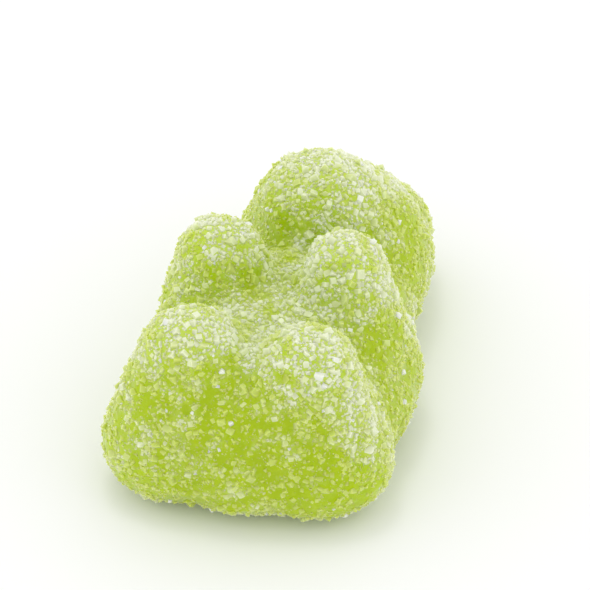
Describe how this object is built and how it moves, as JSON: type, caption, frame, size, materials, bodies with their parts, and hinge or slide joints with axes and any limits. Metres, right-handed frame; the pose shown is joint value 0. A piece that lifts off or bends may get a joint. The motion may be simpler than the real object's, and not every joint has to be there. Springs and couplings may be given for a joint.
{
  "type": "gummy bear",
  "caption": "Sugar-coated jelly bear sweet with a flat back, rounded snout, small ears, and short arms and feet pointing forward.",
  "frame": {"origin": "middle of the flat back that the bear lies on", "axes": "+Z out of the bear's front, +Y towards its head, +X towards the viewer's right when the bear is seen from its feet"},
  "size_m": [0.0126, 0.0218, 0.0096],
  "materials": {
    "sugared_jelly": "translucent lime jelly under a crust of fine sugar"
  },
  "bodies": {
    "root": {"gummy_bear": "sugared_jelly"}
  },
  "joints": []
}
